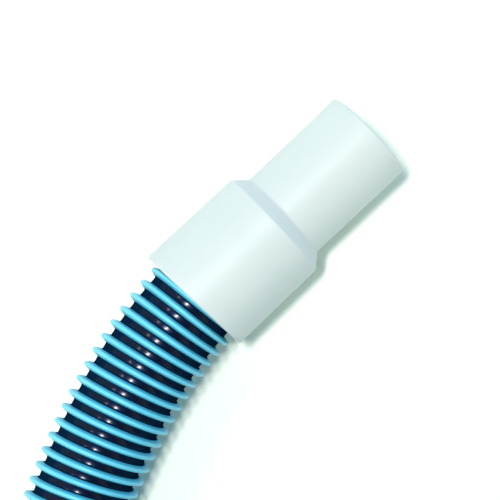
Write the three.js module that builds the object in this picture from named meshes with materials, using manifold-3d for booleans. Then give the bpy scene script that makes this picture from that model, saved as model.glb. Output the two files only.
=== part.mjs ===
// Pool vacuum hose with a swivel cuff. Millimetres, +Z up, floor at z = 0.
// +X runs along the swivel cuff towards its mouth; the origin is on the floor under the cuff's middle.
import * as THREE from 'three';
import { mergeVertices } from 'three/addons/utils/BufferGeometryUtils.js';
import Module from 'manifold-3d';

const wasm = await Module();
wasm.setup();

// Hose: a ribbed strip wound as a right-handed helix and welded along its edges.
const HOSE_LENGTH = 7315;
const HOSE_BORE_RADIUS = 19.05;
const HOSE_WALL = 1.2;
const RIB_HEIGHT = 3.75;
const RIB_PITCH = 6.65;
const RIB_TOP_WIDTH = 2.4;
const RIB_FOOT_WIDTH = 4.5;

// Swivel cuff shell, from its rim (hose side) to its mouth.
const CUFF_BODY_LENGTH = 48;
const CUFF_CONE_LENGTH = 6.2;
const CUFF_NOSE_LENGTH = 52.8;
const CUFF_RIM_WALL = 2.5;
const CUFF_SHOULDER_WALL = 1.95;
const CUFF_NOSE_BASE_WALL = 2.95;
const CUFF_MOUTH_WALL = 3.02;
const SOCKET_RADIUS = 19.2;
const SOCKET_FLARE = 0.2;
const SOCKET_STOP = 0.6;
const THROAT_LENGTH = 5;
const THROAT_LEAD = 2.4;
const SEAT_TO_SHOULDER = 3.6;

// Ferrule screwed on the hose end, and the washer in front of it.
const FERRULE_THREAD_LENGTH = 22.5;
const FERRULE_FLANGE_THICKNESS = 2.2;
const FERRULE_WALL = 0.95;
const WASHER_THICKNESS = 1.7;
const SNAP_LIP_LENGTH = 3;
const SNAP_LIP_CATCH = 0.8;

// Fixed cuff on the far end of the hose.
const FAR_BODY_LENGTH = 38;
const FAR_CONE_LENGTH = 6;
const FAR_NOSE_LENGTH = 50;
const FAR_WALL = 2.85;
const FAR_BORE_CLEARANCE = 0.5;
const FAR_STOP_THICKNESS = 1.5;

// Stored coil: layers of a flat spiral, in, out and in again.
const COIL_START = [-418.061, -220.439];
const COIL_START_ANGLE = 135;
const COIL_OUTER_RADIUS = 290;
const TURN_SPACING = 2;
const LAYER_SPACING = 0.4;
const COIL_TURNS_PER_LAYER = 1.53;
const COIL_RISE_ANGLE = 80;
const FAR_CUFF_LIFT = 4;
const FAR_CUFF_LIFT_ANGLE = 25;
const STRAIGHT_END = 45;

// Hook-and-loop straps round the coil: one between where the hose comes in and the fixed cuff, given as
// a share of that arc, and the others on the arc from the fixed cuff on to where the hose comes in.
const STRAP_WIDTH = 25;
const STRAP_THICKNESS = 1.8;
const STRAP_SHARE_BEFORE_CUFF = 0.47;
const STRAP_SHARES_AFTER_CUFF = [0.43, 0.85];
const HOSE_ENTRY_ANGLE = 35;

// Clearances: between faces that touch, in the thread, in the swivel, and round the coil.
const GAP = 0.3;
const THREAD_CLEARANCE = 0.35;
const RUNNING_CLEARANCE = 0.4;
const FLOOR_CLEARANCE = 0.1;
const RING_CLEARANCE = 1;
const STRAP_RING_CLEARANCE = 0.9;
const STRAP_TAIL_CLEARANCE = 1.8;

// Edge treatments.
const EDGE_ROUND = 0.6;
const EDGE_MIDDLE = 0.2;
const ENTRY_CHAMFER = 0.8;
const CONE_ROUND = 0.5;

const ROUND_SIDES = 48;
const THREAD_SIDES = 24;
const CORD_SIDES = 12;
const STRAP_SIDES = 24;
const RUN_STEPS = 18;
const TAIL_STEP = 38.5;

// Radii that follow from the hose, the ferrule and the walls.
const HOSE_WALL_RADIUS = HOSE_BORE_RADIUS + HOSE_WALL;
const RIB_RADIUS = HOSE_WALL_RADIUS + RIB_HEIGHT;
const FERRULE_RADIUS = RIB_RADIUS + THREAD_CLEARANCE + FERRULE_WALL;
const CHAMBER_RADIUS = FERRULE_RADIUS + RUNNING_CLEARANCE;
const LIP_RADIUS = FERRULE_RADIUS - SNAP_LIP_CATCH;
const CUFF_RIM_RADIUS = CHAMBER_RADIUS + CUFF_RIM_WALL;
const CUFF_SHOULDER_RADIUS = CHAMBER_RADIUS + CUFF_SHOULDER_WALL;
const SOCKET_MOUTH_RADIUS = SOCKET_RADIUS + SOCKET_FLARE;
const CUFF_NOSE_BASE_RADIUS = SOCKET_RADIUS + CUFF_NOSE_BASE_WALL;
const CUFF_MOUTH_RADIUS = SOCKET_MOUTH_RADIUS + CUFF_MOUTH_WALL;
const THROAT_RADIUS = SOCKET_RADIUS - SOCKET_STOP;

// Axial stations of the swivel cuff, along X.
const RIM_X = -(CUFF_BODY_LENGTH + CUFF_CONE_LENGTH + CUFF_NOSE_LENGTH) / 2;
const SHOULDER_X = RIM_X + CUFF_BODY_LENGTH;
const NOSE_X = SHOULDER_X + CUFF_CONE_LENGTH;
const MOUTH_X = NOSE_X + CUFF_NOSE_LENGTH;
const SEAT_X = SHOULDER_X - SEAT_TO_SHOULDER;
const WASHER_X = SEAT_X - GAP - WASHER_THICKNESS;
const FERRULE_FRONT_X = WASHER_X - GAP;
const FLANGE_BACK_X = FERRULE_FRONT_X - FERRULE_FLANGE_THICKNESS;
const FERRULE_BACK_X = FLANGE_BACK_X - FERRULE_THREAD_LENGTH;
const HOSE_START_X = FLANGE_BACK_X - GAP;
const LIP_FRONT_X = FERRULE_BACK_X - GAP;
const LIP_BACK_X = LIP_FRONT_X - SNAP_LIP_LENGTH;
const RUN_START_X = FERRULE_BACK_X - GAP;
const CUFF_AXIS_Z = CUFF_RIM_RADIUS;

// Hose route from the ferrule to the coil, chosen along one smooth curve: [x, y, height of its underside].
const RUN_ROUTE = [
  [-54, -0.6, 4.2], [-72, -2.6, 4.1], [-90, -6.3, 3.8], [-108, -11.5, 3.4], [-126, -17.9, 2.9],
  [-144, -25.4, 2.3], [-162, -34.2, 1.8], [-197.3, -53.1, 1], [-231.8, -73.3, 0.6], [-265.5, -94.9, 0.4],
  [-298.3, -117.8, 0.3], [-330.2, -142, 0.4], [-361.1, -167.4, 0.8], [-390.9, -194.1, 1.4],
];
const STRAIGHT_START = 5.6;
const RUN_POINTS = [
  [RUN_START_X, 0, CUFF_AXIS_Z],
  [RUN_START_X - STRAIGHT_START, 0, CUFF_AXIS_Z],
  ...RUN_ROUTE.map(([x, y, underside]) => [x, y, underside + RIB_RADIUS]),
];

const group = new THREE.Group();
export default group;

function material(color, roughness, metalness = 0) {
  return new THREE.MeshStandardMaterial({ color, roughness, metalness });
}

function addPiece(name, geometry, look) {
  const mesh = new THREE.Mesh(geometry, look);
  mesh.name = name;
  group.add(mesh);
  return mesh;
}

// --- Solids -------------------------------------------------------------------------------------

function toSolid(geometry) {
  const bare = geometry.clone();
  for (const key of Object.keys(bare.attributes)) {
    if (key !== 'position') bare.deleteAttribute(key);
  }
  const merged = mergeVertices(bare, 1e-4);
  const vertProperties = new Float32Array(merged.attributes.position.array);
  const corners = merged.index.array;
  const kept = [];
  let volume = 0;
  const a = new THREE.Vector3();
  const b = new THREE.Vector3();
  const c = new THREE.Vector3();
  for (let i = 0; i < corners.length; i += 3) {
    const [p, q, r] = [corners[i], corners[i + 1], corners[i + 2]];
    if (p === q || q === r || r === p) continue;
    kept.push(p, q, r);
    a.fromArray(vertProperties, 3 * p);
    b.fromArray(vertProperties, 3 * q);
    c.fromArray(vertProperties, 3 * r);
    volume += a.dot(b.cross(c));
  }
  if (volume < 0) {
    for (let i = 0; i < kept.length; i += 3) {
      [kept[i + 1], kept[i + 2]] = [kept[i + 2], kept[i + 1]];
    }
  }
  return new wasm.Manifold(new wasm.Mesh({ numProp: 3, vertProperties, triVerts: new Uint32Array(kept) }));
}

function toGeometry(solid) {
  const mesh = solid.getMesh();
  const geometry = new THREE.BufferGeometry();
  geometry.setAttribute('position', new THREE.BufferAttribute(new Float32Array(mesh.vertProperties), 3));
  geometry.setIndex(new THREE.BufferAttribute(new Uint32Array(mesh.triVerts), 1));
  geometry.computeVertexNormals();
  return geometry;
}

function outline(geometry) {
  return toGeometry(toSolid(geometry));
}

// A solid of revolution about the X axis from a closed outline of [x, radius] points.
function turned(points, sides = ROUND_SIDES) {
  const profile = [...points, points[0]].map(([x, r]) => new THREE.Vector2(r, x));
  return new THREE.LatheGeometry(profile, sides).rotateZ(-Math.PI / 2);
}

function tube(curve, steps, radius = RIB_RADIUS) {
  const section = new THREE.Shape();
  for (let i = 0; i < CORD_SIDES; i++) {
    const angle = (2 * Math.PI * i) / CORD_SIDES;
    const [u, v] = [radius * Math.cos(angle), radius * Math.sin(angle)];
    if (i === 0) section.moveTo(u, v);
    else section.lineTo(u, v);
  }
  section.closePath();
  return new THREE.ExtrudeGeometry(section, { steps, bevelEnabled: false, extrudePath: curve });
}

// The helical form of the hose's outside about X: one rib per pitch between firstX and lastX.
function helixForm(firstX, lastX, wallRadius, tipRadius, topWidth, footWidth) {
  const sides = THREAD_SIDES;
  const turns = Math.ceil((lastX - firstX) / RIB_PITCH) + 3;
  const startX = firstX - 1.5 * RIB_PITCH;
  const profile = [
    [0.5 - footWidth / 2 / RIB_PITCH, wallRadius],
    [0.5 - topWidth / 2 / RIB_PITCH, tipRadius],
    [0.5 + topWidth / 2 / RIB_PITCH, tipRadius],
    [0.5 + footWidth / 2 / RIB_PITCH, wallRadius],
  ];
  const count = profile.length;
  const positions = [];
  const corners = [];
  for (let step = 0; step <= (turns + 1) * sides; step++) {
    const angle = (2 * Math.PI * step) / sides;
    for (const [along, radius] of profile) {
      const x = startX + RIB_PITCH * (step / sides + along);
      positions.push(x, radius * Math.cos(angle), radius * Math.sin(angle));
    }
  }
  const at = (step, k) => (k < count ? step * count + k : (step + sides) * count + k - count);
  for (let step = 0; step < turns * sides; step++) {
    for (let k = 0; k < count; k++) {
      corners.push(at(step, k), at(step + 1, k), at(step + 1, k + 1));
      corners.push(at(step, k), at(step + 1, k + 1), at(step, k + 1));
    }
  }
  for (const [first, backwards] of [[0, false], [turns * sides, true]]) {
    const centre = positions.length / 3;
    positions.push(startX + RIB_PITCH * (first / sides + 1), 0, 0);
    const loop = [];
    for (let step = first; step <= first + sides; step++) loop.push(at(step, 0));
    for (let k = count - 1; k >= 1; k--) loop.push(at(first, k));
    for (let i = 0; i < loop.length; i++) {
      const [p, q] = [loop[i], loop[(i + 1) % loop.length]];
      if (backwards) corners.push(centre, p, q);
      else corners.push(centre, q, p);
    }
  }
  const geometry = new THREE.BufferGeometry();
  geometry.setAttribute('position', new THREE.BufferAttribute(new Float32Array(positions), 3));
  geometry.setIndex(corners);
  return toSolid(geometry);
}

// --- Swivel cuff --------------------------------------------------------------------------------

function swivelCuffOutline() {
  return [
    [RIM_X, CHAMBER_RADIUS + ENTRY_CHAMFER],
    [RIM_X + ENTRY_CHAMFER, CHAMBER_RADIUS],
    [LIP_BACK_X, CHAMBER_RADIUS],
    [LIP_BACK_X + ENTRY_CHAMFER, LIP_RADIUS],
    [LIP_FRONT_X, LIP_RADIUS],
    [LIP_FRONT_X, CHAMBER_RADIUS],
    [SEAT_X, CHAMBER_RADIUS],
    [SEAT_X, THROAT_RADIUS + THROAT_LEAD],
    [NOSE_X - THROAT_LENGTH, THROAT_RADIUS],
    [NOSE_X, THROAT_RADIUS],
    [NOSE_X, SOCKET_RADIUS],
    [MOUTH_X - ENTRY_CHAMFER, SOCKET_MOUTH_RADIUS],
    [MOUTH_X, SOCKET_MOUTH_RADIUS + ENTRY_CHAMFER],
    [MOUTH_X, CUFF_MOUTH_RADIUS - EDGE_ROUND],
    [MOUTH_X - EDGE_MIDDLE, CUFF_MOUTH_RADIUS - EDGE_MIDDLE],
    [MOUTH_X - EDGE_ROUND, CUFF_MOUTH_RADIUS],
    [NOSE_X + EDGE_ROUND, CUFF_NOSE_BASE_RADIUS],
    [NOSE_X - CONE_ROUND, CUFF_NOSE_BASE_RADIUS + CONE_ROUND],
    [SHOULDER_X + CONE_ROUND, CUFF_SHOULDER_RADIUS - CONE_ROUND],
    [SHOULDER_X - EDGE_ROUND, CUFF_SHOULDER_RADIUS],
    [RIM_X + EDGE_ROUND, CUFF_RIM_RADIUS],
    [RIM_X + EDGE_MIDDLE, CUFF_RIM_RADIUS - EDGE_MIDDLE],
    [RIM_X, CUFF_RIM_RADIUS - EDGE_ROUND],
  ];
}

function ringOutline(fromX, toX, innerRadius, outerRadius) {
  return [[fromX, innerRadius], [toX, innerRadius], [toX, outerRadius], [fromX, outerRadius]];
}

function ferrule() {
  const blank = toSolid(turned([
    [FERRULE_BACK_X, HOSE_BORE_RADIUS],
    [FERRULE_FRONT_X, HOSE_BORE_RADIUS],
    [FERRULE_FRONT_X, FERRULE_RADIUS - EDGE_ROUND],
    [FERRULE_FRONT_X - EDGE_ROUND, FERRULE_RADIUS],
    [FERRULE_BACK_X, FERRULE_RADIUS],
  ]));
  const grown = 2 * GAP + 2 * THREAD_CLEARANCE / 3;
  const thread = helixForm(FERRULE_BACK_X, FERRULE_FRONT_X, HOSE_WALL_RADIUS + THREAD_CLEARANCE,
    RIB_RADIUS + THREAD_CLEARANCE, RIB_TOP_WIDTH + grown, RIB_FOOT_WIDTH + grown);
  const depth = toSolid(turned(ringOutline(FERRULE_BACK_X - 1, FLANGE_BACK_X, 0, FERRULE_RADIUS + 1)));
  return toGeometry(blank.subtract(thread.intersect(depth)));
}

function hoseEnd() {
  const form = helixForm(FERRULE_BACK_X, FERRULE_FRONT_X, HOSE_WALL_RADIUS, RIB_RADIUS,
    RIB_TOP_WIDTH, RIB_FOOT_WIDTH);
  const length = toSolid(turned(
    ringOutline(FERRULE_BACK_X, HOSE_START_X, HOSE_BORE_RADIUS, RIB_RADIUS + 1), THREAD_SIDES));
  return toGeometry(form.intersect(length));
}

const onCuffAxis = (geometry) => geometry.translate(0, 0, CUFF_AXIS_Z);

const eva = material(0xe7f8f5, 0.42);
const rubber = material(0x2a2c2e, 0.75);
const nylon = material(0xd9dde0, 0.45);
const ribBlue = material(0x62d2f2, 0.38);
const webbing = material(0x23262b, 0.9);

addPiece('swivel_cuff', onCuffAxis(outline(turned(swivelCuffOutline()))), eva);
const washerOuter = CHAMBER_RADIUS - RUNNING_CLEARANCE;
const washerOutline = ringOutline(WASHER_X, WASHER_X + WASHER_THICKNESS, HOSE_BORE_RADIUS, washerOuter);
addPiece('swivel_washer', onCuffAxis(outline(turned(washerOutline))), rubber);
addPiece('threaded_ferrule', onCuffAxis(ferrule()), nylon);
addPiece('hose_end', onCuffAxis(hoseEnd()), ribBlue);

// --- Coil ---------------------------------------------------------------------------------------

const COIL_CENTRE = [
  COIL_START[0] - COIL_OUTER_RADIUS * Math.cos(THREE.MathUtils.degToRad(COIL_START_ANGLE)),
  COIL_START[1] - COIL_OUTER_RADIUS * Math.sin(THREE.MathUtils.degToRad(COIL_START_ANGLE)),
];
const COIL_PITCH = 2 * RIB_RADIUS + TURN_SPACING;
const LAYER_HEIGHT = 2 * RIB_RADIUS + LAYER_SPACING;
const LAYER_ANGLE = 360 * COIL_TURNS_PER_LAYER;
const FIRST_RISE = LAYER_ANGLE;
const SECOND_LAYER = FIRST_RISE + COIL_RISE_ANGLE;
const SECOND_RISE = SECOND_LAYER + LAYER_ANGLE;
const THIRD_LAYER = SECOND_RISE + COIL_RISE_ANGLE;
const COIL_INNER_RADIUS = COIL_OUTER_RADIUS - COIL_PITCH * COIL_TURNS_PER_LAYER;
const COIL_BASE_Z = FLOOR_CLEARANCE + STRAP_THICKNESS + GAP + RIB_RADIUS;
const smooth = (t) => THREE.MathUtils.smoothstep(t, 0, 1);

function coilRadius(angle) {
  if (angle < FIRST_RISE) return COIL_OUTER_RADIUS - (COIL_PITCH * angle) / 360;
  if (angle < SECOND_LAYER) return COIL_INNER_RADIUS;
  if (angle < SECOND_RISE) return COIL_INNER_RADIUS + (COIL_PITCH * (angle - SECOND_LAYER)) / 360;
  if (angle < THIRD_LAYER) return COIL_OUTER_RADIUS;
  return COIL_OUTER_RADIUS - (COIL_PITCH * (angle - THIRD_LAYER)) / 360;
}

// The fixed cuff is thicker than the hose, so the hose's end rises to it, and where a turn of the last layer
// lies outside the cuff, it rises by a whole layer.
function coilHeight(angle, endAngle = Infinity) {
  const layers = smooth((angle - FIRST_RISE) / COIL_RISE_ANGLE) + smooth((angle - SECOND_RISE) / COIL_RISE_ANGLE);
  const turnOutside = endAngle < Infinity && endAngle - 360 > SECOND_RISE;
  const liftHeight = turnOutside ? FAR_CUFF_LIFT + LAYER_HEIGHT : FAR_CUFF_LIFT;
  const liftAngle = turnOutside ? COIL_RISE_ANGLE : FAR_CUFF_LIFT_ANGLE;
  const lift = smooth((angle - endAngle + liftAngle) / liftAngle);
  return COIL_BASE_Z + LAYER_HEIGHT * layers + liftHeight * lift;
}

function coilPoint(angle, endAngle) {
  const bearing = THREE.MathUtils.degToRad(COIL_START_ANGLE + angle);
  const radius = coilRadius(angle);
  return new THREE.Vector3(
    COIL_CENTRE[0] + radius * Math.cos(bearing),
    COIL_CENTRE[1] + radius * Math.sin(bearing),
    coilHeight(angle, endAngle),
  );
}

const runCurve = new THREE.CatmullRomCurve3(
  [...RUN_POINTS.map((point) => new THREE.Vector3(...point)), coilPoint(0)]);

// The hose's length that is left after the run fixes where the coil ends.
function coilEndAngle() {
  let left = HOSE_LENGTH - (HOSE_START_X - RUN_START_X) - runCurve.getLength() - STRAIGHT_END;
  let angle = 0;
  while (left > 0) {
    left -= coilPoint(angle).distanceTo(coilPoint(angle + 1));
    angle += 1;
  }
  return angle;
}

const END_ANGLE = coilEndAngle();

class TailCurve extends THREE.Curve {
  constructor(fromAngle) {
    super();
    this.fromAngle = fromAngle;
    this.end = coilPoint(END_ANGLE, END_ANGLE);
    this.heading = this.end.clone().sub(coilPoint(END_ANGLE - 0.5, END_ANGLE)).setZ(0).normalize();
    const arc = THREE.MathUtils.degToRad(END_ANGLE - fromAngle) * coilRadius(END_ANGLE - 120);
    this.share = arc / (arc + STRAIGHT_END);
  }

  getPoint(t, target = new THREE.Vector3()) {
    if (t < this.share) {
      const angle = THREE.MathUtils.lerp(this.fromAngle, END_ANGLE, t / this.share);
      return target.copy(coilPoint(angle, END_ANGLE));
    }
    const past = ((t - this.share) / (1 - this.share)) * STRAIGHT_END;
    return target.copy(this.end).addScaledVector(this.heading, past);
  }
}

// Outer shape of the two full layers, as [radius, z] with the hose's own radius at the corners.
function ringCorners(grow = 0, spread = 0) {
  const reach = RIB_RADIUS + grow;
  const outer = COIL_OUTER_RADIUS + spread;
  const inner = COIL_INNER_RADIUS - spread;
  const centres = [
    [outer, COIL_BASE_Z, -90], [outer, COIL_BASE_Z + LAYER_HEIGHT, 0],
    [inner, COIL_BASE_Z + LAYER_HEIGHT, 90], [inner, COIL_BASE_Z, 180],
  ];
  const points = [];
  for (const [radius, z, from] of centres) {
    for (let i = 0; i <= 4; i++) {
      const angle = THREE.MathUtils.degToRad(from + 22.5 * i);
      points.push([radius + reach * Math.cos(angle), z + reach * Math.sin(angle)]);
    }
  }
  return points;
}

function coilRing(grow = 0) {
  const corners = ringCorners(grow);
  const profile = [...corners, corners[0]].map(([radius, z]) => new THREE.Vector2(radius, z));
  const ring = new THREE.LatheGeometry(profile, ROUND_SIDES).rotateX(Math.PI / 2);
  return ring.translate(COIL_CENTRE[0], COIL_CENTRE[1], 0);
}

// The ring holds the hose until it has risen clear of the two full layers.
const TAIL_START_ANGLE = SECOND_RISE + 0.45 * COIL_RISE_ANGLE;
const ringSpace = toSolid(coilRing(RING_CLEARANCE));

addPiece('hose_run', toGeometry(toSolid(tube(runCurve, RUN_STEPS)).subtract(ringSpace)), ribBlue);
addPiece('hose_coil', outline(coilRing()), ribBlue);
const tailCurve = new TailCurve(TAIL_START_ANGLE);
const tailSteps = Math.round(tailCurve.getLength() / TAIL_STEP);
addPiece('hose_tail', toGeometry(toSolid(tube(tailCurve, tailSteps)).subtract(ringSpace)), ribBlue);

// --- Fixed cuff ---------------------------------------------------------------------------------

function fixedCuffOutline() {
  const bore = RIB_RADIUS + FAR_BORE_CLEARANCE;
  const body = bore + FAR_WALL;
  const nose = SOCKET_RADIUS + FAR_WALL;
  const coneX = FAR_BODY_LENGTH;
  const stopX = coneX - FAR_STOP_THICKNESS;
  const noseX = coneX + FAR_CONE_LENGTH;
  const mouthX = noseX + FAR_NOSE_LENGTH;
  return [
    [0, bore + ENTRY_CHAMFER], [ENTRY_CHAMFER, bore], [stopX, bore], [stopX, THROAT_RADIUS],
    [noseX, THROAT_RADIUS], [noseX, SOCKET_RADIUS], [mouthX - ENTRY_CHAMFER, SOCKET_MOUTH_RADIUS],
    [mouthX, SOCKET_MOUTH_RADIUS + ENTRY_CHAMFER], [mouthX, nose - EDGE_ROUND], [mouthX - EDGE_ROUND, nose],
    [noseX, nose], [coneX, body], [EDGE_ROUND, body], [0, body - EDGE_ROUND],
  ];
}

const fixedCuff = addPiece('fixed_cuff', outline(turned(fixedCuffOutline())), eva);
const hoseOverlap = FAR_BODY_LENGTH - FAR_STOP_THICKNESS - GAP;
fixedCuff.position.copy(tailCurve.getPoint(1)).addScaledVector(tailCurve.heading, -hoseOverlap);
fixedCuff.rotation.z = Math.atan2(tailCurve.heading.y, tailCurve.heading.x);

// --- Straps -------------------------------------------------------------------------------------

function hull(points) {
  const sorted = [...points].sort((p, q) => p[0] - q[0] || p[1] - q[1]);
  const side = (list) => {
    const kept = [];
    for (const p of list) {
      while (kept.length > 1) {
        const [a, b] = kept.slice(-2);
        if ((b[0] - a[0]) * (p[1] - a[1]) - (b[1] - a[1]) * (p[0] - a[0]) > 0) break;
        kept.pop();
      }
      kept.push(p);
    }
    return kept.slice(0, -1);
  };
  return [...side(sorted), ...side(sorted.reverse())];
}

// The loop that a strap makes round the turns at one place, seen along the hose: [radius, z].
function strapLoop(angle, grow) {
  const points = ringCorners(grow, STRAP_RING_CLEARANCE);
  const reach = RIB_RADIUS + grow + STRAP_TAIL_CLEARANCE;
  const first = angle + 360 * Math.ceil((TAIL_START_ANGLE - angle) / 360);
  for (let pass = first; pass <= END_ANGLE; pass += 360) {
    const halfWidth = THREE.MathUtils.radToDeg(STRAP_WIDTH / 2 / coilRadius(pass));
    for (const edge of [pass - halfWidth, pass + halfWidth]) {
      for (let i = 0; i < STRAP_SIDES; i++) {
        const turn = (2 * Math.PI * i) / STRAP_SIDES;
        const height = coilHeight(edge, END_ANGLE);
        points.push([coilRadius(edge) + reach * Math.cos(turn), height + reach * Math.sin(turn)]);
      }
    }
  }
  return hull(points).map(([radius, z]) => new THREE.Vector2(radius, z));
}

const cuffAngle = END_ANGLE % 360;
const openArc = 360 - HOSE_ENTRY_ANGLE - cuffAngle;
const strapAngles = [
  STRAP_SHARE_BEFORE_CUFF * cuffAngle,
  ...STRAP_SHARES_AFTER_CUFF.map((share) => cuffAngle + share * openArc),
];
strapAngles.forEach((angle, i) => {
  const band = new THREE.Shape(strapLoop(angle, GAP + STRAP_THICKNESS));
  band.holes.push(new THREE.Path(strapLoop(angle, GAP)));
  const loop = new THREE.ExtrudeGeometry(band, { depth: STRAP_WIDTH, bevelEnabled: false, steps: 1 });
  loop.translate(0, 0, -STRAP_WIDTH / 2).rotateX(Math.PI / 2);
  loop.rotateZ(THREE.MathUtils.degToRad(COIL_START_ANGLE + angle));
  addPiece(`strap_${i + 1}`, outline(loop.translate(COIL_CENTRE[0], COIL_CENTRE[1], 0)), webbing);
});
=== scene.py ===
import math

import bmesh
import bpy
import numpy as np
from mathutils import Matrix, Vector


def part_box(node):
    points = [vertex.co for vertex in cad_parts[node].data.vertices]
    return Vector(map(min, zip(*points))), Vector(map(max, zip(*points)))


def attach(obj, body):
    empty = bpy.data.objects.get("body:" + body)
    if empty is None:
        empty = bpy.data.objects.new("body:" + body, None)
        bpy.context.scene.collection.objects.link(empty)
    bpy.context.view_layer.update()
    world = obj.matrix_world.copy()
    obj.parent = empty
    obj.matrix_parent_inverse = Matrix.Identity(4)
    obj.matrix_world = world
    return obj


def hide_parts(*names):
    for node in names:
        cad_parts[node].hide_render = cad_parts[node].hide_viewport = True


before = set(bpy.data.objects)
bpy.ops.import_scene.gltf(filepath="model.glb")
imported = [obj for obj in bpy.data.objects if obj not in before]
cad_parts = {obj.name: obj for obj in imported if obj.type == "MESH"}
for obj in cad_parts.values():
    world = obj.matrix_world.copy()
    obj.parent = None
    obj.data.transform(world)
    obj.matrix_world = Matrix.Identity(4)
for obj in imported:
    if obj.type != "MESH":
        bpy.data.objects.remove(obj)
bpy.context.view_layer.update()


# --- Camera -------------------------------------------------------------------------------------
# A long lens looks almost straight down on the swivel cuff and the first stretch of hose.
# It is turned so that the cuff's mouth points up and to the right.

CAMERA_PLACE = Vector((-0.0538, -0.0003, 0.901))
CAMERA_AIM = Vector((-0.0206, -0.0010, 0.0282))
VIEW_UP = Vector((0.687, 0.7265, 0))
FIELD_OF_VIEW = math.radians(14.6)

camera = bpy.data.objects.new("camera", bpy.data.cameras.new("camera"))
bpy.context.scene.collection.objects.link(camera)
bpy.context.scene.camera = camera
towards_camera = (CAMERA_PLACE - CAMERA_AIM).normalized()
view_right = VIEW_UP.cross(towards_camera).normalized()
view_up = towards_camera.cross(view_right)
camera.matrix_world = Matrix.Translation(CAMERA_PLACE) @ Matrix(
    (view_right, view_up, towards_camera)).transposed().to_4x4()
camera.data.angle = FIELD_OF_VIEW
camera.data.clip_start = 0.01


# --- Hose route ---------------------------------------------------------------------------------
# The hose leaves the cuff straight, sinks on to the floor in one easy bend, and runs into its stored coil:
# a flat spiral in, a second layer out and a third one part of the way in again, then a short straight end.

BORE_RADIUS = 0.01905
RIB_RADIUS = 0.024
RIB_PITCH = 0.00665
HOSE_START_X = -0.0139
CUFF_EXIT_X = -0.0364
STRAIGHT_START = 0.0056
STRAIGHT_END = 0.045

# Floor places along the bend, each with the height of the hose's underside.
RUN_ROUTE = [
    (-0.054, -0.0006, 0.0042), (-0.072, -0.0026, 0.0041), (-0.090, -0.0063, 0.0038),
    (-0.108, -0.0115, 0.0034), (-0.126, -0.0179, 0.0029), (-0.144, -0.0254, 0.0023),
    (-0.162, -0.0342, 0.0018), (-0.1973, -0.0531, 0.0010), (-0.2318, -0.0733, 0.0006),
    (-0.2655, -0.0949, 0.0004), (-0.2983, -0.1178, 0.0003), (-0.3302, -0.1420, 0.0004),
    (-0.3611, -0.1674, 0.0008), (-0.3909, -0.1941, 0.0014),
]
COIL_START = (-0.418061, -0.220439)
COIL_START_ANGLE = 135
COIL_OUTER_RADIUS = 0.290
COIL_PITCH = 0.050
LAYER_HEIGHT = 0.0484
LAYER_ANGLE = 360 * 1.53
RISE_ANGLE = 80
COIL_END_ANGLE = 1524
END_LIFT = 0.004
END_LIFT_ANGLE = 25
COIL_BASE = 0.0262

COIL_CENTRE = Vector((
    COIL_START[0] - COIL_OUTER_RADIUS * math.cos(math.radians(COIL_START_ANGLE)),
    COIL_START[1] - COIL_OUTER_RADIUS * math.sin(math.radians(COIL_START_ANGLE)),
    0,
))
COIL_INNER_RADIUS = COIL_OUTER_RADIUS - COIL_PITCH * LAYER_ANGLE / 360
SECOND_LAYER = LAYER_ANGLE + RISE_ANGLE
SECOND_RISE = SECOND_LAYER + LAYER_ANGLE
THIRD_LAYER = SECOND_RISE + RISE_ANGLE


def eased(share):
    share = min(max(share, 0), 1)
    return share * share * (3 - 2 * share)


def coil_radius(angle):
    if angle < LAYER_ANGLE:
        return COIL_OUTER_RADIUS - COIL_PITCH * angle / 360
    if angle < SECOND_LAYER:
        return COIL_INNER_RADIUS
    if angle < SECOND_RISE:
        return COIL_INNER_RADIUS + COIL_PITCH * (angle - SECOND_LAYER) / 360
    if angle < THIRD_LAYER:
        return COIL_OUTER_RADIUS
    return COIL_OUTER_RADIUS - COIL_PITCH * (angle - THIRD_LAYER) / 360


def coil_height(angle):
    layers = eased((angle - LAYER_ANGLE) / RISE_ANGLE) + eased((angle - SECOND_RISE) / RISE_ANGLE)
    lift = eased((angle - COIL_END_ANGLE) / END_LIFT_ANGLE + 1)
    return COIL_BASE + LAYER_HEIGHT * layers + END_LIFT * lift


def coil_point(angle):
    bearing = math.radians(COIL_START_ANGLE + angle)
    radius = coil_radius(angle)
    return COIL_CENTRE + Vector((radius * math.cos(bearing), radius * math.sin(bearing), coil_height(angle)))


CURVE_STEPS = 40


def joined_curve(points, step):
    """Points every step along a smooth curve through the given ones."""
    places = np.array([tuple(p) for p in points])
    ends = np.vstack([2 * places[0] - places[1], places, 2 * places[-1] - places[-2]])
    knots = np.concatenate([[0], np.cumsum(np.sqrt(np.linalg.norm(np.diff(ends, axis=0), axis=1)))])
    fine = []
    for i in range(1, len(ends) - 2):
        t0, t1, t2, t3 = knots[i - 1:i + 3]
        t = np.linspace(t1, t2, CURVE_STEPS, endpoint=False)[:, None]
        a1 = ((t1 - t) * ends[i - 1] + (t - t0) * ends[i]) / (t1 - t0)
        a2 = ((t2 - t) * ends[i] + (t - t1) * ends[i + 1]) / (t2 - t1)
        a3 = ((t3 - t) * ends[i + 1] + (t - t2) * ends[i + 2]) / (t3 - t2)
        b1 = ((t2 - t) * a1 + (t - t0) * a2) / (t2 - t0)
        b2 = ((t3 - t) * a2 + (t - t1) * a3) / (t3 - t1)
        fine.append(((t2 - t) * b1 + (t - t1) * b2) / (t2 - t1))
    fine = np.vstack(fine + [places[-1:]])
    along = np.concatenate([[0], np.cumsum(np.linalg.norm(np.diff(fine, axis=0), axis=1))])
    stations = np.arange(0, along[-1], step)
    return np.stack([np.interp(stations, along, fine[:, k]) for k in range(3)], axis=1)


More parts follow.
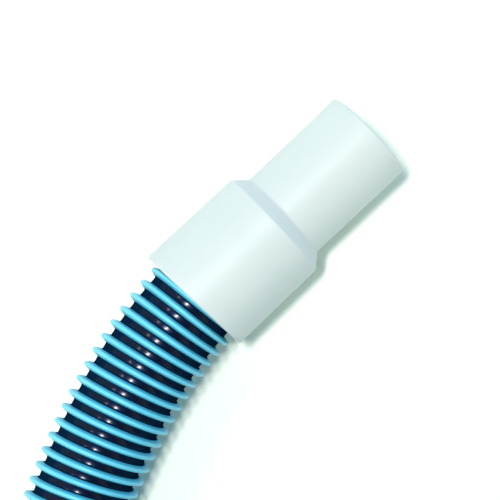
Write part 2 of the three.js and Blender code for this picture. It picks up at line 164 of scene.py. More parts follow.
cuff_low, cuff_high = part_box("swivel_cuff")
cuff_axis_z = (cuff_low.z + cuff_high.z) / 2
COIL_STEP_ANGLE = 3
HEADING_ANGLE = 0.5
END_SHARES = (0.33, 0.66, 1)
end_point = coil_point(COIL_END_ANGLE)
end_heading = end_point - coil_point(COIL_END_ANGLE - HEADING_ANGLE)
end_heading.z = 0
end_heading.normalize()
route = [(HOSE_START_X, 0, cuff_axis_z), (CUFF_EXIT_X, 0, cuff_axis_z)]
route += [(CUFF_EXIT_X - STRAIGHT_START, 0, cuff_axis_z)]
route += [(x, y, underside + RIB_RADIUS) for x, y, underside in RUN_ROUTE]
route += [coil_point(angle) for angle in range(0, COIL_END_ANGLE + 1, COIL_STEP_ANGLE)]
route += [end_point + end_heading * STRAIGHT_END * share for share in END_SHARES]
PATH_STEP = 0.001
SMOOTHING = 12
line = joined_curve(route, PATH_STEP)
kernel = np.hanning(2 * SMOOTHING + 3)[1:-1]
kernel /= kernel.sum()
padded = np.pad(line, ((SMOOTHING, SMOOTHING), (0, 0)), mode="reflect", reflect_type="odd")
line = np.stack([np.convolve(padded[:, k], kernel, mode="valid") for k in range(3)], axis=1)
line_along = np.concatenate([[0], np.cumsum(np.linalg.norm(np.diff(line, axis=0), axis=1))])
hose_length = line_along[-1]

heading = np.gradient(line, axis=0)
heading /= np.linalg.norm(heading, axis=1)[:, None]
side = np.zeros_like(line)
side[0] = (0, 1, 0)
for i in range(1, len(line)):
    carried = side[i - 1] - heading[i] * (side[i - 1] @ heading[i])
    side[i] = carried / np.linalg.norm(carried)
across = np.cross(heading, side)


def hose_points(along, angle, radius):
    """Points round the hose, at distances along its centre line, angles round it and radii."""
    def carried(rows):
        return np.stack([np.interp(along, line_along, rows[:, k]) for k in range(3)], axis=-1)
    along_clear = np.clip(along, 0, hose_length)
    past = (along - along_clear)[..., None]
    round_side = carried(side) * np.cos(angle)[..., None]
    round_across = carried(across) * np.sin(angle)[..., None]
    return carried(line) + past * carried(heading) + (round_side + round_across) * radius[..., None]


# --- Hose wall ----------------------------------------------------------------------------------
# The hose's tube: glossy navy plastic, a strip wound as a helix and welded edge to edge, smooth in the bore.
# Between the ribs it shows as a round-bottomed valley that turns up into each rib's flank.

RIB_PHASE = 0.00225
FIRST_WALL_TURN = -1
# Each profile gives places in shares of the rib pitch, counted from a rib's middle, with the radius there.
VALLEY_PROFILE = [
    (0.50, 0.02027), (0.57, 0.020279), (0.64, 0.020306), (0.69, 0.02035), (0.725, 0.02048), (0.75, 0.02088),
    (0.765, 0.02150), (1.235, 0.02150), (1.25, 0.02088), (1.275, 0.02048), (1.31, 0.02035), (1.36, 0.020306),
    (1.43, 0.020279),
]
COIL_VALLEY_PROFILE = [(0.50, 0.02020), (0.72, 0.02078), (1.28, 0.02078)]
FINE_TURNS = 34
FINE_SIDES = 64
COIL_SIDES = 16
all_turns = int((hose_length - RIB_PHASE) / RIB_PITCH) - 1


def mesh_object(name, corners, faces):
    mesh = bpy.data.meshes.new(name)
    mesh.from_pydata(corners, [], faces)
    mesh.validate()
    made = bpy.data.objects.new(name, mesh)
    bpy.context.scene.collection.objects.link(made)
    mesh.polygons.foreach_set("use_smooth", [True] * len(mesh.polygons))
    return made


def helix_rows(first_turn, turns, sides, profile):
    """Corners along a helix, row after row: each row holds one corner per profile point."""
    steps = np.arange(turns * sides + 1)
    angle = 2 * math.pi * steps / sides
    shares = np.array([share for share, _ in profile])
    radii = np.array([radius for _, radius in profile])
    along = RIB_PHASE + RIB_PITCH * (first_turn + steps[:, None] / sides + shares[None, :])
    shape = along.shape
    return hose_points(along, np.broadcast_to(angle[:, None], shape), np.broadcast_to(radii, shape))


def wall_shell(first_turn, turns, sides, profile):
    """A closed stretch of the tube: valleys outside, smooth bore inside, a stepped ring at each end."""
    full = helix_rows(first_turn, turns + 1, sides, profile + [(profile[0][0], BORE_RADIUS)])
    count = len(profile) + 1
    corners = full.reshape(-1, 3)
    last = turns * sides

    def at(step, place):
        if place == count - 1:
            return (step + sides) * count
        return step * count + place

    def bore(step):
        return step * count + count - 1

    faces = []
    for step in range(last):
        for place in range(count - 1):
            faces.append((at(step, place), at(step, place + 1), at(step + 1, place + 1), at(step + 1, place)))
        faces.append((bore(step), bore(step + 1), bore(step + 1 + sides), bore(step + sides)))
    for step in range(sides):
        faces.append((at(step, 0), at(step + 1, 0), bore(step + 1), bore(step)))
        end = last + step
        faces.append((at(end + 1, 0), at(end, 0), bore(end), bore(end + 1)))
    faces.append([bore(0), bore(sides)] + [at(0, place) for place in range(count - 1, -1, -1)])
    faces.append([at(last, place) for place in range(count)] + [bore(last + sides), bore(last)])
    return corners, faces


def without_loose(corners, faces):
    used = sorted({corner for face in faces for corner in face})
    place = {corner: i for i, corner in enumerate(used)}
    return [tuple(corners[corner]) for corner in used], [[place[c] for c in face] for face in faces]


shells = [
    wall_shell(FIRST_WALL_TURN, FINE_TURNS, FINE_SIDES, VALLEY_PROFILE),
    wall_shell(FIRST_WALL_TURN + FINE_TURNS, all_turns - FINE_TURNS, COIL_SIDES, COIL_VALLEY_PROFILE),
]
wall_corners, wall_faces = [], []
for corners, faces in shells:
    corners, faces = without_loose(corners, faces)
    offset = len(wall_corners)
    wall_corners += corners
    wall_faces += [[corner + offset for corner in face] for face in faces]
hose_wall = mesh_object("hose_wall", wall_corners, wall_faces)


class Socket:
    """A shader socket that Python's operators work on, each adding the Math node that it means."""

    def __init__(self, maker, link):
        self.maker = maker
        self.link = link

    def maths(self, operation, *values):
        return self.maker.node("ShaderNodeMath", {"operation": operation}, dict(enumerate(values)))

    def __add__(self, other):
        return self.maths("ADD", self, other)

    def __radd__(self, other):
        return self.maths("ADD", other, self)

    def __sub__(self, other):
        return self.maths("SUBTRACT", self, other)

    def __rsub__(self, other):
        return self.maths("SUBTRACT", other, self)

    def __mul__(self, other):
        return self.maths("MULTIPLY", self, other)

    def __rmul__(self, other):
        return self.maths("MULTIPLY", other, self)

    def sine(self):
        return self.maths("SINE", self)


class Finish:
    """A material, or the sky, under way: node() makes any node, and the shader is the one it starts with."""

    def __init__(self, name, kept_in=bpy.data.materials, shader="Principled BSDF", **values):
        self.material = kept_in.new(name)
        self.material.use_nodes = True
        self.tree = self.material.node_tree
        self.shader = self.tree.nodes[shader]
        for socket, value in values.items():
            self.shader.inputs[socket.replace("_", " ")].default_value = value

    def node(self, kind, settings=None, inputs=None, output=0):
        made = self.tree.nodes.new(kind)
        for key, value in (settings or {}).items():
            if key == "stops":
                ramp = made.color_ramp.elements
                while len(ramp) < len(value):
                    ramp.new(1)
                for stop, (place, colour) in zip(ramp, value):
                    stop.position = place
                    stop.color = colour
            else:
                setattr(made, key, value)
        for key, value in (inputs or {}).items():
            self.join(value, made.inputs[key])
        return Socket(self, made.outputs[output])

    def join(self, value, socket):
        if isinstance(value, Socket):
            self.tree.links.new(value.link, socket)
        else:
            socket.default_value = value

    def blend(self, share, colour, other):
        return self.node("ShaderNodeMix", {"data_type": "RGBA"}, {0: share, 6: colour, 7: other}, output=2)

    def noise(self, scale, detail=2):
        place = self.node("ShaderNodeTexCoord", None, None, output=3)
        return self.node("ShaderNodeTexNoise", None, {"Scale": scale, "Detail": detail, "Vector": place})

    def level(self, value, low, high, to_low=0, to_high=1):
        inputs = {0: value, 1: low, 2: high, 3: to_low, 4: to_high}
        return self.node("ShaderNodeMapRange", None, inputs)

    def measure(self, name):
        return self.node("ShaderNodeAttribute", {"attribute_name": name}, None, output=2)

    def feed(self, **links):
        for socket, value in links.items():
            self.join(value, self.shader.inputs[socket.replace("_", " ")])

    def relief(self, height, distance, strength=1):
        inputs = {"Height": height, "Distance": distance, "Strength": strength}
        self.feed(Normal=self.node("ShaderNodeBump", None, inputs))


NAVY = (0.0006, 0.0018, 0.0080, 1)
NAVY_WORN = (0.0010, 0.0034, 0.0130, 1)
NAVY_SHEEN = (0.005, 0.17, 0.72, 1)
# Painted edge reflection: a dim blue that the wall shows only where it turns away, in place of mirrored
# light.
NAVY_EDGE_PAINTED_REFLECTION = (0.002, 0.015, 0.040, 1)
CLOUD_SCALE = 60
RIPPLE_SCALE = 420
RIPPLE_DEPTH = 0.00012
GLOSS_FADES_FROM = 0.08
GLOSS_GONE_BY = 0.40
wall_finish = Finish("hose_wall_navy", IOR=1.34, Specular_Tint=NAVY_SHEEN,
                     Coat_Weight=1, Coat_Roughness=0.17, Coat_IOR=1.26)
cloud = wall_finish.noise(CLOUD_SCALE, 3)
wall_finish.feed(
    Base_Color=wall_finish.blend(wall_finish.level(cloud, 0.35, 0.7), NAVY, NAVY_WORN),
    Roughness=0.40 + 0.10 * cloud,
)
wall_finish.relief(wall_finish.noise(RIPPLE_SCALE, 2), RIPPLE_DEPTH, 0.25)
# Where the wall turns away, the gloss is swapped for a matt shader whose lighter blue navy is a painted edge
# reflection, put there instead of the floor's mirrored image.
gloss = Socket(wall_finish, wall_finish.shader.outputs["BSDF"])
painted_edge_reflection = wall_finish.node("ShaderNodeBsdfPrincipled", None, {
    "Base Color": NAVY_EDGE_PAINTED_REFLECTION, "Roughness": 0.5, "Specular IOR Level": 0,
})
turned_away = wall_finish.node("ShaderNodeLayerWeight", None, {"Blend": 0.5}, output=1)
painted_edge_share = wall_finish.level(turned_away, GLOSS_FADES_FROM, GLOSS_GONE_BY)
wall_finish.join(
    wall_finish.node("ShaderNodeMixShader", None, {0: painted_edge_share, 1: gloss, 2: painted_edge_reflection}),
    wall_finish.tree.nodes["Material Output"].inputs["Surface"],
)
hose_wall.data.materials.append(wall_finish.material)
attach(hose_wall, "hose")
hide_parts("hose_end", "hose_run", "hose_coil", "hose_tail")


# --- Hose ribs ----------------------------------------------------------------------------------
# One light-blue bead of softer plastic is laid on the tube's seam as a helix and welded to it.
# It narrows from its foot to a round crest. The crest is painted lighter as a highlight, mottled by scuffs
# where it takes the wear when the hose is dragged, and the foot is painted darker as shade.

RIB_PROFILE = [
    (-0.200, 0.0206), (-0.248, 0.02105), (-0.240, 0.0214), (-0.214, 0.0220), (-0.178, 0.0227),
    (-0.138, 0.0234), (-0.090, 0.02385), (-0.034, 0.0240), (0.034, 0.0240), (0.090, 0.02385),
    (0.138, 0.0234), (0.178, 0.0227), (0.214, 0.0220), (0.240, 0.0214), (0.248, 0.02105), (0.200, 0.0206),
]
COIL_RIB_PROFILE = [(-0.248, 0.0207), (-0.120, 0.0238), (0.120, 0.0238), (0.248, 0.0207)]
COIL_RIB_SIDES = 22


def rib_bead(first_turn, turns, sides, profile):
    """A closed bead along the helix, with its section's last point joined back to its first."""
    rows = helix_rows(first_turn, turns, sides, profile)
    count = len(profile)
    last = turns * sides
    faces = []
    for step in range(last):
        for place in range(count):
            after = (place + 1) % count
            faces.append((step * count + place, step * count + after,
                          (step + 1) * count + after, (step + 1) * count + place))
    faces.append(list(range(count - 1, -1, -1)))
    faces.append([last * count + place for place in range(count)])
    return [tuple(corner) for corner in rows.reshape(-1, 3)], faces


BLUE = (0.080, 0.490, 0.695, 1)
# Painted highlight: the rib's crest is coloured lighter, as if lit from above.
BLUE_CREST_PAINTED_HIGHLIGHT = (0.170, 0.620, 0.735, 1)
# Painted shade: the rib's foot is coloured darker where it meets the valley.
BLUE_FOOT_PAINTED_SHADE = (0.030, 0.330, 0.580, 1)
SCUFF_SCALE = 90
PORE_SCALE = 900
RIB_RIPPLE_SCALE = 240
RIB_RELIEF = 0.0001
rib_finish = Finish("rib_blue", IOR=1.5, Specular_IOR_Level=0.4)
height = rib_finish.measure("rib_height")
# The crest's mask carries the painted highlight, broken up by scuff noise, and also a smoother finish there.
painted_highlight_crest = rib_finish.level(height, 0.75, 1)
# The foot's mask carries painted shade into the crease between rib and valley.
painted_shade_foot = rib_finish.level(height, 0.0, 0.35, 1, 0)
scuffs = rib_finish.noise(SCUFF_SCALE, 4)
colour = rib_finish.blend(painted_highlight_crest * rib_finish.level(scuffs, 0.3, 0.7, 0.45, 1), BLUE, BLUE_CREST_PAINTED_HIGHLIGHT)
rib_finish.feed(
    Base_Color=rib_finish.blend(painted_shade_foot * 0.5, colour, BLUE_FOOT_PAINTED_SHADE),
    Roughness=0.36 + 0.14 * scuffs - 0.05 * painted_highlight_crest,
)
rib_pores = rib_finish.noise(PORE_SCALE, 3) + 0.6 * rib_finish.noise(RIB_RIPPLE_SCALE, 2)
rib_finish.relief(rib_pores, RIB_RELIEF, 0.3)

for name, first_turn, turns, sides, profile in (
    ("hose_rib", 0, FINE_TURNS, FINE_SIDES, RIB_PROFILE),
    ("hose_rib_coiled", FINE_TURNS, all_turns - FINE_TURNS - 1, COIL_RIB_SIDES, COIL_RIB_PROFILE),
):
    rib = mesh_object(name, *rib_bead(first_turn, turns, sides, profile))
    low = min(radius for _, radius in profile)
    high = max(radius for _, radius in profile)
    shares = [(radius - low) / (high - low) for _, radius in profile]
    marks = rib.data.attributes.new("rib_height", "FLOAT", "POINT")
    marks.data.foreach_set("value", shares * (len(rib.data.vertices) // len(shares)))
    rib.data.materials.append(rib_finish.material)
    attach(rib, "hose")


# --- Fixed cuff ---------------------------------------------------------------------------------
# The cuff on the far end, moulded in off-white EVA and glued on the hose, so it doesn't turn.
# It lies on the coil, level and in line with the hose's straight end.

FAR_BODY_LENGTH = 0.038
FAR_CONE_LENGTH = 0.006
FAR_NOSE_LENGTH = 0.050
FAR_WALL = 0.00285
FAR_BORE = RIB_RADIUS + 0.0005
FAR_STOP = 0.0015
SOCKET_RADIUS = 0.0192
SOCKET_MOUTH_RADIUS = 0.0194
THROAT_RADIUS = 0.0186
GLUE_GAP = 0.0003
TURNED_SIDES = 160
ARC_STEPS = 6
STRAIGHT_CORNER = math.radians(89)
CORNER_SHARE = 0.45
EDGE_ROW = 0.0003
LEAST_GAP = 0.0009
ROW_SPACING = 0.006


def rounded_outline(corners):
    """A closed outline from (along, radius, corner round): arcs at its corners, close rows beside them."""
    rows = []
    for i, (x, y, radius) in enumerate(corners):
        here = Vector((x, y))
        before = Vector(corners[i - 1][:2]) - here
        after = Vector(corners[(i + 1) % len(corners)][:2]) - here
        half_angle = before.angle(after) / 2
        if radius == 0 or half_angle > STRAIGHT_CORNER:
            rows.append([here])
            continue
        longest = CORNER_SHARE * min(before.length, after.length)
        reach = min(radius / math.tan(half_angle), longest)
        radius = reach * math.tan(half_angle)
        inward = (before.normalized() + after.normalized()).normalized()
        middle = here + inward * radius / math.sin(half_angle)
        start = here + before.normalized() * reach - middle
        turn = start.angle_signed(here + after.normalized() * reach - middle)
        arc = []
        for step in range(ARC_STEPS + 1):
            share = turn * step / ARC_STEPS
            swung = Vector((start.x * math.cos(share) + start.y * math.sin(share),
                            start.y * math.cos(share) - start.x * math.sin(share)))
            arc.append(middle + swung)
        rows.append(arc)
    points = []
    for i, row in enumerate(rows):
        points += row
        gap = rows[(i + 1) % len(rows)][0] - row[-1]
        beside = min(EDGE_ROW, gap.length / 3)
        if gap.length > LEAST_GAP:
            points += [row[-1] + gap.normalized() * beside]
            count = int(gap.length / ROW_SPACING)
            points += [row[-1] + gap * (k / (count + 1)) for k in range(1, count + 1)]
            points += [row[-1] + gap.normalized() * (gap.length - beside)]
    return points


def turned_piece(name, corners, placed):
    """A piece turned about its own X axis from a rounded outline, then put where it belongs."""
    outline = rounded_outline(corners)
    count = len(outline)
    places = []
    for step in range(TURNED_SIDES):
        angle = 2 * math.pi * step / TURNED_SIDES
        places += [placed @ Vector((p.x, p.y * math.cos(angle), p.y * math.sin(angle))) for p in outline]
    faces = []
    for step in range(TURNED_SIDES):
        for row in range(count):
            after = (row + 1) % count
            beyond = (step + 1) % TURNED_SIDES
            faces.append((step * count + row, step * count + after,
                          beyond * count + after, beyond * count + row))
    made = mesh_object(name, places, faces)
    tidy = bmesh.new()
    tidy.from_mesh(made.data)
    bmesh.ops.recalc_face_normals(tidy, faces=tidy.faces)
    tidy.to_mesh(made.data)
    tidy.free()
    return made


EVA_WHITE = (0.602, 0.634, 0.620, 1)
EVA_SHADE = (0.572, 0.610, 0.600, 1)
FLOW_SCALE = 35
GRAIN_SCALE = 1400
DIMPLE_SCALE = 260
GRAIN_DEPTH = 0.00006
eva_finish = Finish("eva_white", IOR=1.48, Specular_IOR_Level=0.35, Subsurface_Weight=0.12,
                    Subsurface_Radius=(0.004, 0.005, 0.005), Subsurface_Scale=0.3)
flow = eva_finish.noise(FLOW_SCALE, 4)
grain = eva_finish.noise(GRAIN_SCALE, 2) + 0.5 * eva_finish.noise(DIMPLE_SCALE, 3)
eva_finish.feed(
    Base_Color=eva_finish.blend(eva_finish.level(flow, 0.3, 0.75), EVA_WHITE, EVA_SHADE),
    Roughness=0.40 + 0.10 * flow,
)
eva_finish.relief(grain, GRAIN_DEPTH, 0.35)

far_end_point = end_point + end_heading * STRAIGHT_END
far_cuff_start = far_end_point - end_heading * (FAR_BODY_LENGTH - FAR_STOP - GLUE_GAP)
far_turn = Matrix.Rotation(math.atan2(end_heading.y, end_heading.x), 4, "Z")
far_stop_x = FAR_BODY_LENGTH - FAR_STOP
far_nose_x = FAR_BODY_LENGTH + FAR_CONE_LENGTH
far_mouth_x = far_nose_x + FAR_NOSE_LENGTH
fixed_cuff = turned_piece("fixed_cuff_moulding", [
    (0, FAR_BORE, 0.0006),
    (far_stop_x, FAR_BORE, 0.0003),
    (far_stop_x, THROAT_RADIUS, 0.0004),
    (far_nose_x, THROAT_RADIUS, 0.0002),
    (far_nose_x, SOCKET_RADIUS, 0.0002),
    (far_mouth_x, SOCKET_MOUTH_RADIUS, 0.0007),
    (far_mouth_x, SOCKET_RADIUS + FAR_WALL, 0.0007),
    (far_nose_x, SOCKET_RADIUS + FAR_WALL, 0.0020),
    (FAR_BODY_LENGTH, FAR_BORE + FAR_WALL, 0.0014),
    (0, FAR_BORE + FAR_WALL, 0.0009),
], Matrix.Translation(far_cuff_start) @ far_turn)
fixed_cuff.data.materials.append(eva_finish.material)
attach(fixed_cuff, "hose")
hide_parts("fixed_cuff")


# --- Straps -------------------------------------------------------------------------------------
# Three hook-and-loop tapes, 25 mm wide, hold the coil. Each is pulled tight round the turns at its place
# and closed on itself: its loose end lies over its start and is pressed down.

STRAP_WIDTH = 0.025
STRAP_THICKNESS = 0.0018
STRAP_ANGLES = [39.48, 187.63, 288.85]
STRAP_SLACK = 0.0003
OVERLAP = 0.060
ROW_STEP = 0.004
LOOP_STEPS = 72
START_LEAN = 0.2
HEADING_REACH = 0.003
LAP_BEFORE = 0.006
LAP_RAMP = 0.010
LAP_LIFT = 1.02 * STRAP_THICKNESS
# The tape's section, as shares of its width and of its thickness: its edges are a little rounded.
TAPE_SECTION = [
    (-0.5, -0.35), (-0.5, 0.35), (-0.47, 0.5), (-0.2, 0.5), (0.2, 0.5), (0.47, 0.5),
    (0.5, 0.35), (0.5, -0.35), (0.47, -0.5), (0.2, -0.5), (-0.2, -0.5), (-0.47, -0.5),
]


def taut_loop(circles, reach):
    """The closed line of a tape pulled round circles of the same reach: [(radius, height)]."""
    points = set()
    for radius, height in circles:
        for step in range(LOOP_STEPS):
            turn = 2 * math.pi * step / LOOP_STEPS
            points.add((round(radius + reach * math.cos(turn), 6), round(height + reach * math.sin(turn), 6)))
    ordered = sorted(points)

    def edge(run):
        kept = []
        for p in run:
            while len(kept) > 1:
                (ax, ay), (bx, by) = kept[-2:]
                if (bx - ax) * (p[1] - ay) - (by - ay) * (p[0] - ax) > 0:
                    break
                kept.pop()
            kept.append(p)
        return kept[:-1]

    return np.array(edge(ordered) + edge(ordered[::-1]))


def strap(name, angle):
    """One closed tape round the turns at an angle of the coil, with its end lapped over its start."""
    circles = [(coil_radius(a), coil_height(a)) for a in np.arange(angle, COIL_END_ANGLE, 360)]
    clear = RIB_RADIUS + STRAP_SLACK + STRAP_THICKNESS / 2
    loop = taut_loop(circles, clear)
    ring = np.vstack([loop, loop[:1]])
    lengths = np.concatenate([[0], np.cumsum(np.linalg.norm(np.diff(ring, axis=0), axis=1))])
    round_length = lengths[-1]
    start = lengths[np.argmax(loop[:, 1] - START_LEAN * loop[:, 0])]
    count = int((round_length + OVERLAP) / ROW_STEP)
    stations = np.linspace(0, round_length + OVERLAP, count)
    bearing = math.radians(COIL_START_ANGLE + angle)
    outward = Vector((math.cos(bearing), math.sin(bearing), 0))
    sideways = Vector((-math.sin(bearing), math.cos(bearing), 0))

    def on_ring(station):
        at = (start + station) % round_length
        return np.array([np.interp(at, lengths, ring[:, 0]), np.interp(at, lengths, ring[:, 1])])

    corners, marks = [], []
    for station in stations:
        here = on_ring(station)
        ahead = on_ring(station + HEADING_REACH) - on_ring(station - HEADING_REACH)
        ahead /= np.linalg.norm(ahead)
        out = np.array([ahead[1], -ahead[0]])
        lift = LAP_LIFT * eased((station - round_length + LAP_BEFORE) / LAP_RAMP)
        for across_share, through in TAPE_SECTION:
            spot = here + out * (lift + through * STRAP_THICKNESS)
            corners.append(COIL_CENTRE + outward * spot[0] + sideways * across_share * STRAP_WIDTH
                           + Vector((0, 0, spot[1])))
            marks.append((station, across_share * STRAP_WIDTH, through))
    size = len(TAPE_SECTION)
    faces = []
    for row in range(len(stations) - 1):
        for place in range(size):
            after = (place + 1) % size
            faces.append((row * size + place, row * size + after,
                          (row + 1) * size + after, (row + 1) * size + place))
    faces.append(list(range(size - 1, -1, -1)))
    faces.append([(len(stations) - 1) * size + place for place in range(size)])
    made = mesh_object(name, corners, faces)
    weave = made.data.attributes.new("weave", "FLOAT_VECTOR", "POINT")
    weave.data.foreach_set("vector", [value for mark in marks for value in mark])
    return made


TAPE = (0.020, 0.022, 0.027, 1)
TAPE_LIGHT = (0.060, 0.064, 0.074, 1)
WARP_PITCH = 0.0011
WEFT_PITCH = 0.0009
FUZZ_SCALE = 900
WEAVE_DEPTH = 0.00025
tape_finish = Finish("strap_tape", Specular_IOR_Level=0.2, Sheen_Weight=0.25, Sheen_Roughness=0.5)
place_on_tape = tape_finish.node("ShaderNodeAttribute", {"attribute_name": "weave"}, None, output=1)
length_way = tape_finish.node("ShaderNodeSeparateXYZ", None, {0: place_on_tape}, output=0)
width_way = tape_finish.node("ShaderNodeSeparateXYZ", None, {0: place_on_tape}, output=1)
warp = (length_way * (2 * math.pi / WARP_PITCH)).sine()
weft = (width_way * (2 * math.pi / WEFT_PITCH)).sine()
woven = warp * weft
fuzz = tape_finish.noise(FUZZ_SCALE, 4)
tape_finish.feed(
    Base_Color=tape_finish.blend(tape_finish.level(woven + fuzz, 0.0, 1.4), TAPE, TAPE_LIGHT),
    Roughness=0.75 + 0.2 * fuzz,
)
tape_finish.relief(woven + 0.8 * fuzz, WEAVE_DEPTH, 0.8)

for i, angle in enumerate(STRAP_ANGLES, 1):
    tape = strap(f"strap_{i}_tape", angle)
    tape.data.materials.append(tape_finish.material)
    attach(tape, "hose")
    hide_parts(f"strap_{i}")


# --- Swivel cuff --------------------------------------------------------------------------------
# The cuff that the vacuum head pushes into: soft off-white EVA, moulded in one piece round a core.
# It snaps over the ferrule on the hose's end and turns on it; its skirt covers the first ribs.

rim_x = cuff_low.x
mouth_x = cuff_high.x
rim_radius = cuff_high.y
BODY_LENGTH = 0.048
CONE_LENGTH = 0.0062
SHOULDER_RADIUS = 0.02765
NOSE_BASE_RADIUS = 0.02215
MOUTH_RADIUS = 0.02242
CHAMBER_RADIUS = 0.0257
LIP_RADIUS = 0.0245
LIP_FRONT_X = -0.0364
LIP_LENGTH = 0.003
LIP_LEAD = 0.0009
SEAT_BACK = 0.0036
THROAT_LENGTH = 0.005
THROAT_LEAD = 0.0024
shoulder_x = rim_x + BODY_LENGTH
nose_x = shoulder_x + CONE_LENGTH
swivel_cuff = turned_piece("swivel_cuff_moulding", [
    (rim_x, CHAMBER_RADIUS, 0.0009),
    (LIP_FRONT_X - LIP_LENGTH, CHAMBER_RADIUS, 0.0005),
    (LIP_FRONT_X - LIP_LENGTH + LIP_LEAD, LIP_RADIUS, 0.0004),
    (LIP_FRONT_X, LIP_RADIUS, 0.0002),
    (LIP_FRONT_X, CHAMBER_RADIUS, 0.0002),
    (shoulder_x - SEAT_BACK, CHAMBER_RADIUS, 0.0002),
    (shoulder_x - SEAT_BACK, THROAT_RADIUS + THROAT_LEAD, 0.0003),
    (nose_x - THROAT_LENGTH, THROAT_RADIUS, 0.0010),
    (nose_x, THROAT_RADIUS, 0.0002),
    (nose_x, SOCKET_RADIUS, 0.0002),
    (mouth_x, SOCKET_MOUTH_RADIUS, 0.0008),
    (mouth_x, MOUTH_RADIUS, 0.0008),
    (nose_x, NOSE_BASE_RADIUS, 0.0024),
    (shoulder_x, SHOULDER_RADIUS, 0.0016),
    (rim_x, rim_radius, 0.0010),
], Matrix.Translation((0, 0, cuff_axis_z)))
# The skirt is trimmed a little out of square, longer on one side.
TRIM_START_X = -0.0405
TRIM_SLANT = 0.064
TRIM_LONGER = 0.0011
for corner in swivel_cuff.data.vertices:
    share = eased((TRIM_START_X - corner.co.x) / (TRIM_START_X - rim_x))
    corner.co.x -= share * (TRIM_SLANT * corner.co.y + TRIM_LONGER)
swivel_cuff.data.materials.append(eva_finish.material)
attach(swivel_cuff, "swivel_cuff")
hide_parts("swivel_cuff")


# --- Washer -------------------------------------------------------------------------------------
# A flat ring of black rubber, cut from sheet, that lies loose in the cuff between its seat and the ferrule.
# It seals the swivel when the pump draws.

washer_low, washer_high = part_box("swivel_washer")
WASHER_ROUND = 0.0003
RUBBER_BLACK = (0.022, 0.023, 0.025, 1)
RUBBER_BLOOM = (0.050, 0.051, 0.054, 1)
SPECK_SCALE = 1200
SPECK_DEPTH = 0.0001
rubber_finish = Finish("washer_rubber", Specular_IOR_Level=0.3)
speck = rubber_finish.noise(SPECK_SCALE, 3)
rubber_finish.feed(
    Base_Color=rubber_finish.blend(speck, RUBBER_BLACK, RUBBER_BLOOM),
    Roughness=0.65 + 0.2 * speck,
)
rubber_finish.relief(speck, SPECK_DEPTH, 0.5)
washer = turned_piece("washer_ring", [
    (washer_low.x, BORE_RADIUS, WASHER_ROUND),
    (washer_high.x, BORE_RADIUS, WASHER_ROUND),
    (washer_high.x, washer_high.y, WASHER_ROUND),
    (washer_low.x, washer_high.y, WASHER_ROUND),
], Matrix.Translation((0, 0, cuff_axis_z)))
washer.data.materials.append(rubber_finish.material)
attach(washer, "swivel_cuff")
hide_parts("swivel_washer")


# --- Ferrule ------------------------------------------------------------------------------------
# The threaded nylon bush screwed on the hose's end; its flange bears on the washer and its back edge
# is held by the cuff's snap lip. Its shape comes from the frame as it is.

NYLON = (0.62, 0.64, 0.65, 1)
NYLON_PALE = (0.72, 0.74, 0.75, 1)
HAZE_SCALE = 300
HAZE_DEPTH = 0.00005
ferrule_finish = Finish("ferrule_nylon", Specular_IOR_Level=0.4)
haze = ferrule_finish.noise(HAZE_SCALE, 3)
ferrule_finish.feed(
    Base_Color=ferrule_finish.blend(haze, NYLON, NYLON_PALE),
    Roughness=0.35 + 0.15 * haze,
)
ferrule_finish.relief(haze, HAZE_DEPTH, 0.3)
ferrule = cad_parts["threaded_ferrule"]
ferrule.data.materials.clear()
ferrule.data.materials.append(ferrule_finish.material)


# --- Floor and light ----------------------------------------------------------------------------
# A plain white floor. One bright lamp hangs nearly overhead, a little to the cuff's left side, and a weaker
# one lower on the same side. A pale sky, darker overhead and bluer ahead of the cuff, fills the shadows.

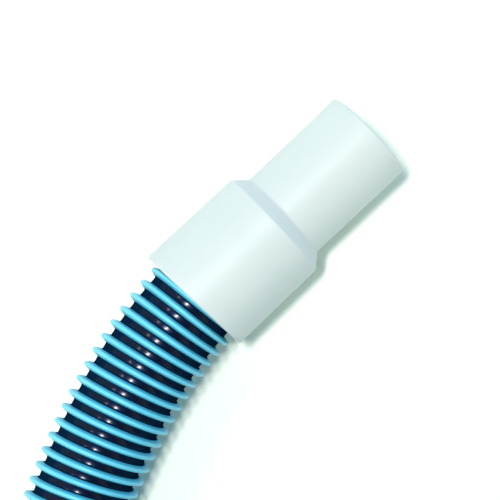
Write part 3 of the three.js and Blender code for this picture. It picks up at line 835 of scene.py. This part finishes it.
FLOOR_HALF = 6.0
FLOOR_WHITE = (0.94, 0.98, 0.87, 1)
FLOOR_PALE = (0.96, 0.99, 0.89, 1)
MOTTLE_SCALE = 8
floor = mesh_object("floor", [(-FLOOR_HALF, -FLOOR_HALF, 0), (FLOOR_HALF, -FLOOR_HALF, 0),
                              (FLOOR_HALF, FLOOR_HALF, 0), (-FLOOR_HALF, FLOOR_HALF, 0)], [(0, 1, 2, 3)])
floor_finish = Finish("floor_white", Roughness=0.9, Specular_IOR_Level=0.1)
mottle = floor_finish.noise(MOTTLE_SCALE, 2)
floor_finish.feed(Base_Color=floor_finish.blend(mottle, FLOOR_WHITE, FLOOR_PALE))
floor.data.materials.append(floor_finish.material)


LIT_PLACE = Vector((-0.02, 0, 0.03))


def lamp(name, tilt, turn, distance, length, width, power, colour):
    """A long lamp that leans from overhead to the left by tilt, swung by turn, and faces the cuff."""
    made = bpy.data.objects.new(name, bpy.data.lights.new(name, "AREA"))
    made.data.shape = "RECTANGLE"
    made.data.size = length
    made.data.size_y = width
    made.data.energy = power
    made.data.color = colour
    lean, swing = math.radians(tilt), math.radians(turn)
    way = Vector((math.sin(lean) * math.sin(swing), math.sin(lean) * math.cos(swing), math.cos(lean)))
    aimed = way.to_track_quat("Z", "Y").to_matrix().to_4x4()
    made.matrix_world = Matrix.Translation(LIT_PLACE + way * distance) @ aimed
    bpy.context.scene.collection.objects.link(made)


lamp("key", tilt=11, turn=-32, distance=2.2, length=0.42, width=0.16, power=39, colour=(1, 0.99, 0.98))
lamp("second", tilt=37, turn=-20, distance=2.0, length=0.34, width=0.10, power=3.2, colour=(1, 1, 1))

SKY_PALE = (0.90, 1.04, 0.94, 1)
SKY_BLUE = (0.32, 0.58, 0.86, 1)
SKY_OVERHEAD = (0.12, 0.16, 0.16, 1)
TURNS_BLUE = (-0.2, 0.8)
TURNS_DARK = (0.70, 0.92)
sky = Finish("sky", bpy.data.worlds, "Background", Strength=1.0)
sky_way = sky.node("ShaderNodeTexCoord", None, None, output=0)
sky_ahead, sky_left, sky_up = (
    sky.node("ShaderNodeSeparateXYZ", None, {0: sky_way}, output=way) for way in range(3))
sky_low = sky.blend(sky.level(sky_ahead + 0.5 * sky_left, *TURNS_BLUE), SKY_PALE, SKY_BLUE)
sky.feed(Color=sky.blend(sky.level(sky_up, *TURNS_DARK), sky_low, SKY_OVERHEAD))
bpy.context.scene.world = sky.material
bpy.context.scene.view_settings.view_transform = "Standard"
